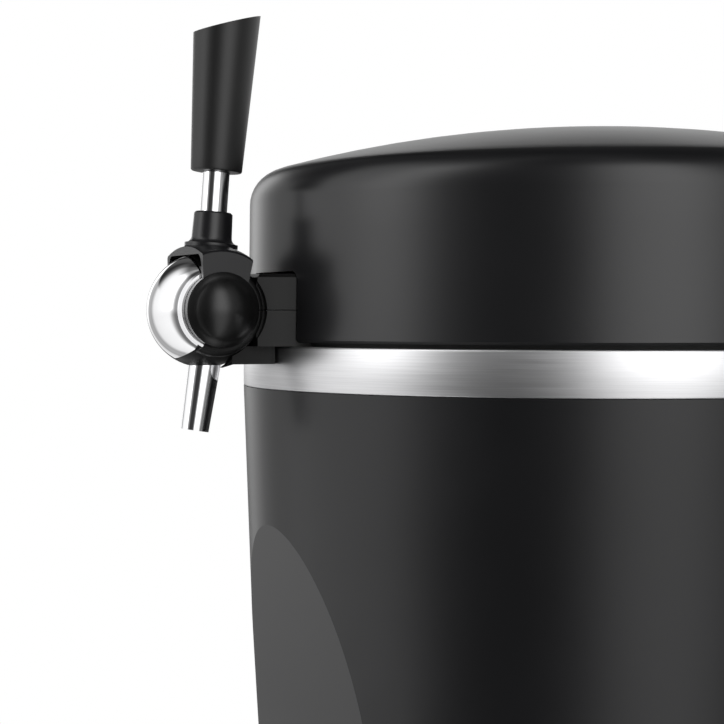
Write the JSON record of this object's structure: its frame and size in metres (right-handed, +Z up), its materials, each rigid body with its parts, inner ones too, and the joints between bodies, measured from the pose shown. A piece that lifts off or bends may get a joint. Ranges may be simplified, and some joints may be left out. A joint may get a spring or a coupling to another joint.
{
  "type": "draft beer dispenser",
  "caption": "Counter-top beer dispenser: tapered drum for a party keg, domed hinged lid, front tap with lever and drip tray.",
  "frame": {"origin": "centre of the bounding box's lower face, on the table under the feet", "axes": "+Z up, -Y towards the drinker (tap and tray), X = 0 is the mirror plane"},
  "size_m": [0.28, 0.369, 0.3954],
  "materials": {
    "shell_plastic": "satin moulded black",
    "lid_plastic": "satin moulded black",
    "tap_plastic": "fine satin black",
    "handle_plastic": "satin black",
    "gloss_black": "glossy black",
    "band_steel": "brushed along the band",
    "tap_chrome": "polished chrome plating",
    "grille_steel": "brushed stainless steel",
    "chamber_aluminium": "drawn, satin",
    "sink_aluminium": "extruded",
    "screw_steel": "zinc plated",
    "inner_plastic": "light grey moulded",
    "foam": "insulating foam",
    "rubber": "matt black",
    "ceramic": "white ceramic",
    "board_green": "solder resist",
    "valve_plastic": "natural moulded",
    "tube_clear": "translucent silicone",
    "pin_brass": "nickelled"
  },
  "bodies": {
    "housing": {"outer_shell": "shell_plastic", "trim_band": "band_steel", "base_plate": "shell_plastic", "feet": "rubber", "base_screws": "screw_steel", "keg_chamber": "chamber_aluminium", "keg_pad": "rubber", "chamber_rim": "shell_plastic", "chamber_foam": "foam", "rear_partition": "inner_plastic", "cold_block": "sink_aluminium", "cooling_module": "ceramic", "heat_sink": "sink_aluminium", "fan_frame": "tap_plastic", "fan_screws": "screw_steel", "power_supply": "screw_steel", "control_board": "board_green", "service_panel": "shell_plastic", "mains_inlet": "tap_plastic", "inlet_pins": "pin_brass", "switch_frame": "tap_plastic", "rear_grille": "shell_plastic", "hinge_bracket": "lid_plastic", "hinge_pin": "screw_steel", "tap_front_shell": "tap_chrome", "tap_upper_shell": "tap_plastic", "tap_lower_shell": "tap_plastic", "tap_support": "tap_plastic", "valve_body": "valve_plastic", "spout": "tap_chrome", "spout_seal": "rubber", "beer_tube": "tube_clear", "keg_coupler": "valve_plastic", "coupler_seal": "rubber", "arm_screws": "screw_steel"},
    "lid": {"lid_shell": "lid_plastic", "lid_foam": "foam", "lid_liner": "inner_plastic", "lid_seal": "rubber", "lid_hinge_leaf": "lid_plastic"},
    "lever": {"valve_plug": "valve_plastic", "plug_seals": "rubber", "lever_yoke": "tap_chrome", "lever_stem": "tap_chrome", "lever_handle": "handle_plastic", "side_caps": "gloss_black"},
    "tray": {"drip_tray": "shell_plastic"},
    "grille": {"drip_grille": "grille_steel"},
    "fan": {"fan_rotor": "tap_plastic"},
    "switch": {"switch_rocker": "gloss_black"}
  },
  "joints": [
    {"name": "tap_lever", "type": "hinge", "parent": "housing", "child": "lever", "pos_m": [0, -0.1337, 0.2853], "axis": [1, 0, 0], "range_deg": [0, 40]},
    {"name": "lid_hinge", "type": "hinge", "parent": "housing", "child": "lid", "pos_m": [0, 0.1785, 0.2718], "axis": [-1, 0, 0], "range_deg": [0, 80]},
    {"name": "tray_slide", "type": "slide", "parent": "housing", "child": "tray", "axis": [0, -1, 0], "range_m": [0, 0.11]},
    {"name": "grille_lift", "type": "slide", "parent": "tray", "child": "grille", "axis": [0, 0, 1], "range_m": [0, 0.025]},
    {"name": "fan_spin", "type": "hinge", "parent": "housing", "child": "fan", "pos_m": [0, 0.1451, 0.15], "axis": [0, 1, 0], "continuous": true},
    {"name": "power_switch", "type": "hinge", "parent": "housing", "child": "switch", "pos_m": [0.021, 0.1526, 0.059], "axis": [-1, 0, 0], "range_deg": [0, 14]}
  ]
}
